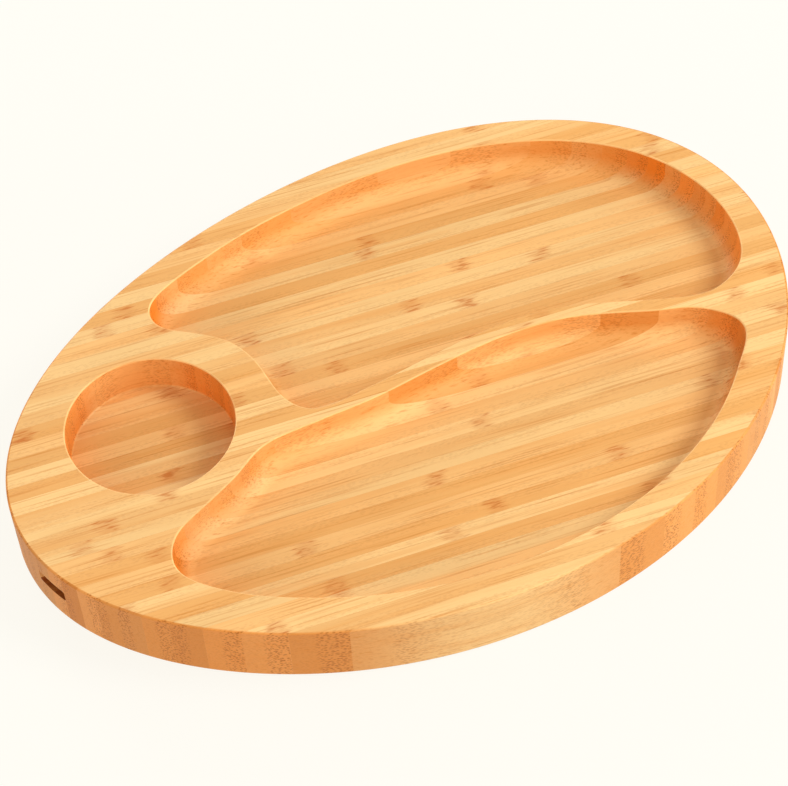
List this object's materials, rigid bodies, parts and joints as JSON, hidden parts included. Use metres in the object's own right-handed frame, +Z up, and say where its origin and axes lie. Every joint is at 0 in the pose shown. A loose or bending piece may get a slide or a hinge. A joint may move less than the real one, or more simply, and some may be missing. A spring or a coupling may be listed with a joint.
{
  "type": "divided serving tray",
  "caption": "Oval serving tray of laminated bamboo strips with coved compartments, a wavy divider, a round bowl well and flat slots in one end of the rim.",
  "frame": {"origin": "bottom centre of the bounding box, on the flat underside", "axes": "+X along the bamboo grain and the tray's length, away from the round well; +Y across; +Z up out of the compartments"},
  "size_m": [0.295, 0.2114, 0.025],
  "materials": {
    "bamboo_light": "satin",
    "bamboo_honey": "satin",
    "bamboo_dark": "satin"
  },
  "bodies": {
    "root": {"bamboo_strip_01": "bamboo_light", "bamboo_strip_02": "bamboo_honey", "bamboo_strip_03": "bamboo_light", "bamboo_strip_04": "bamboo_honey", "bamboo_strip_05": "bamboo_light", "bamboo_strip_06": "bamboo_dark", "bamboo_strip_07": "bamboo_light", "bamboo_strip_08": "bamboo_dark", "bamboo_strip_09": "bamboo_honey", "bamboo_strip_10": "bamboo_dark", "bamboo_strip_11": "bamboo_honey", "bamboo_strip_12": "bamboo_light", "bamboo_strip_13": "bamboo_honey", "bamboo_strip_14": "bamboo_light", "bamboo_strip_15": "bamboo_honey", "bamboo_strip_16": "bamboo_light", "bamboo_strip_17": "bamboo_dark", "bamboo_strip_18": "bamboo_light", "bamboo_strip_19": "bamboo_dark", "bamboo_strip_20": "bamboo_honey", "bamboo_strip_21": "bamboo_dark", "bamboo_strip_22": "bamboo_honey", "bamboo_strip_23": "bamboo_light", "bamboo_strip_24": "bamboo_honey", "bamboo_strip_25": "bamboo_light", "bamboo_strip_26": "bamboo_honey", "bamboo_strip_27": "bamboo_light", "bamboo_strip_28": "bamboo_dark", "bamboo_strip_29": "bamboo_light", "bamboo_strip_30": "bamboo_dark", "bamboo_strip_31": "bamboo_honey", "bamboo_strip_32": "bamboo_dark", "bamboo_strip_33": "bamboo_honey", "bamboo_strip_34": "bamboo_light", "bamboo_strip_35": "bamboo_honey"}
  },
  "joints": []
}
